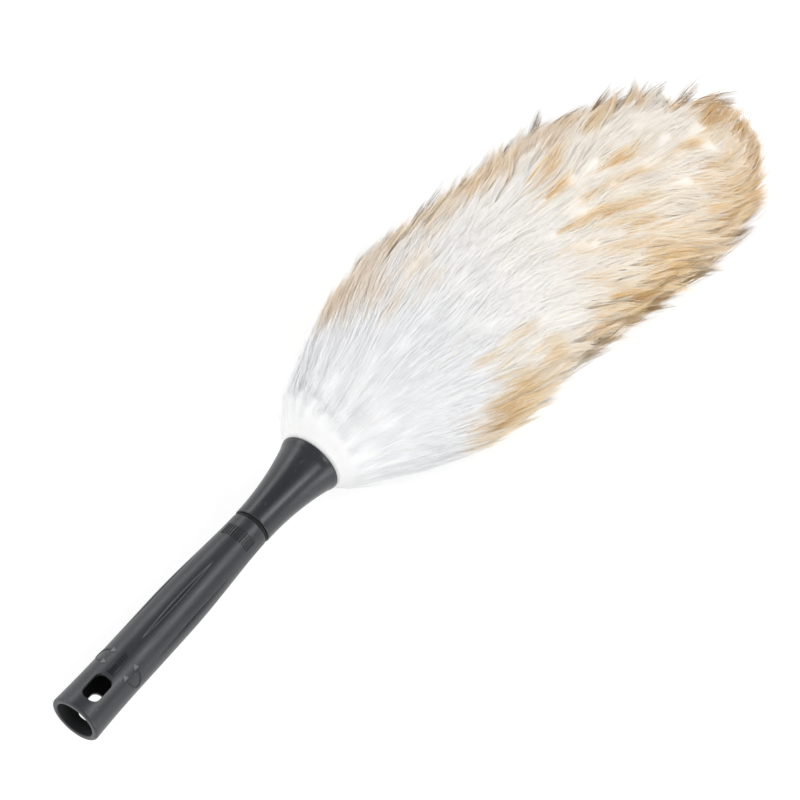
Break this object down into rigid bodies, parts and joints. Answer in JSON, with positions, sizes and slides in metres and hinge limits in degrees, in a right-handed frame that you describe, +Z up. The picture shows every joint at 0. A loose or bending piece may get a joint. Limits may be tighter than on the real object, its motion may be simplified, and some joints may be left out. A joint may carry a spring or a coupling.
{
  "type": "lambswool duster",
  "caption": "Hand duster with a curved lambswool head that screws into a hollow moulded handle with a pole socket and a hang slot.",
  "frame": {"origin": "bottom centre of the whole duster's box, on the surface that the wool lies on", "axes": "+X from the handle's butt to the wool's tip, +Z up through the hang slot, the head bends towards -Y"},
  "size_m": [0.6156, 0.168, 0.1065],
  "materials": {
    "handle_plastic": "charcoal moulded plastic with a satin sheen",
    "ring_rubber": "black rubber ring",
    "collar_plastic": "charcoal moulded plastic with a satin sheen",
    "core_nylon": "natural extruded nylon",
    "screw_steel": "zinc plated steel",
    "washer_steel": "zinc plated steel",
    "pelt_leather": "tanned sheepskin, flesh side inwards",
    "sewing_thread": "twisted polyester thread",
    "tie_twine": "waxed twine",
    "wool": "long combed wool, white at the root and tan at many tips"
  },
  "bodies": {
    "grip": {"grip": "handle_plastic"},
    "ring": {"joint_ring": "ring_rubber"},
    "head": {"bell_collar": "collar_plastic", "core_rod": "core_nylon", "core_screw": "screw_steel", "core_washer": "washer_steel", "pelt_sleeve": "pelt_leather", "seam_thread": "sewing_thread", "neck_tie": "tie_twine", "wool_pile": "wool"}
  },
  "joints": [
    {"name": "head_travel", "type": "slide", "parent": "grip", "child": "ring", "axis": [1, 0, 0], "range_m": [0, 0.01524]},
    {"name": "head_unscrew", "type": "hinge", "parent": "ring", "child": "head", "pos_m": [-0.13761, 0.0218, 0.042], "axis": [1, 0, 0], "range_deg": [0, 1080]}
  ],
  "couplings": [
    {"joint": "head_travel", "follows": "head_unscrew", "m_per_rad": 0.00080851}
  ]
}
